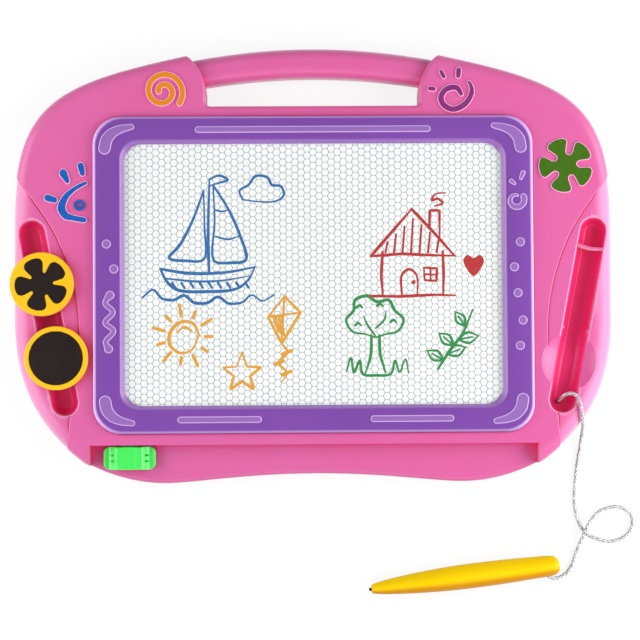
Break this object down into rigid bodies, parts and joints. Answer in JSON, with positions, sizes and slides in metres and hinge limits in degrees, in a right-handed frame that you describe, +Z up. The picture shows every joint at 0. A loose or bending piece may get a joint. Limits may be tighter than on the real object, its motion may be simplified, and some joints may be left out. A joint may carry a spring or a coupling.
{
  "type": "magnetic drawing board",
  "caption": "Magnetic drawing board lying flat: moulded housing with carrying handle, framed honeycomb screen, sliding eraser, magnet stamps in a tray and a pen on a cord.",
  "frame": {"origin": "on the table, under the centre of the board's own outline, in the plane of the back cover's flat underside", "axes": "+X along the board towards the pen tray, +Y across it towards the carrying handle, +Z up out of the screen"},
  "size_m": [0.426, 0.375, 0.0268],
  "materials": {
    "pink_shell": "satin moulded plastic",
    "purple_bezel": "satin moulded plastic",
    "film": "clear smooth film",
    "cells": "honeycomb of thin walls",
    "green_slider": "glossy moulded plastic",
    "yellow_stamp": "glossy moulded plastic",
    "yellow_pen": "glossy moulded plastic",
    "magnet": "matt magnet rubber",
    "silver_cord": "braided silver thread",
    "screw_steel": "zinc-plated"
  },
  "bodies": {
    "board": {"front_housing": "pink_shell", "back_cover": "pink_shell", "screen_bezel": "purple_bezel", "front_film": "film", "honeycomb_core": "cells", "back_film": "film", "pen_cord": "silver_cord", "cord_knot": "silver_cord", "cover_screw_1": "screw_steel", "cover_screw_2": "screw_steel", "cover_screw_3": "screw_steel", "cover_screw_4": "screw_steel", "cover_screw_5": "screw_steel", "cover_screw_6": "screw_steel", "cover_screw_7": "screw_steel", "cover_screw_8": "screw_steel", "cover_screw_9": "screw_steel"},
    "eraser": {"eraser_knob": "green_slider", "eraser_carrier": "green_slider", "eraser_magnet": "magnet"},
    "stamp_flower": {"stamp_flower_body": "yellow_stamp", "stamp_flower_magnet": "magnet"},
    "stamp_round": {"stamp_round_body": "yellow_stamp", "stamp_round_magnet": "magnet"},
    "pen": {"pen_barrel": "yellow_pen", "pen_nib": "magnet"}
  },
  "joints": [
    {"name": "eraser_slide", "type": "slide", "parent": "board", "child": "eraser", "axis": [1, 0, 0], "range_m": [0, 0.2512]},
    {"name": "stamp_flower_lift", "type": "slide", "parent": "board", "child": "stamp_flower", "axis": [0, 0, 1], "range_m": [0, 0.04]},
    {"name": "stamp_round_lift", "type": "slide", "parent": "board", "child": "stamp_round", "axis": [0, 0, 1], "range_m": [0, 0.04]},
    {"name": "pen_lift", "type": "slide", "parent": "board", "child": "pen", "axis": [0, 0, 1], "range_m": [0, 0.04], "deforming": ["pen_cord"]}
  ]
}
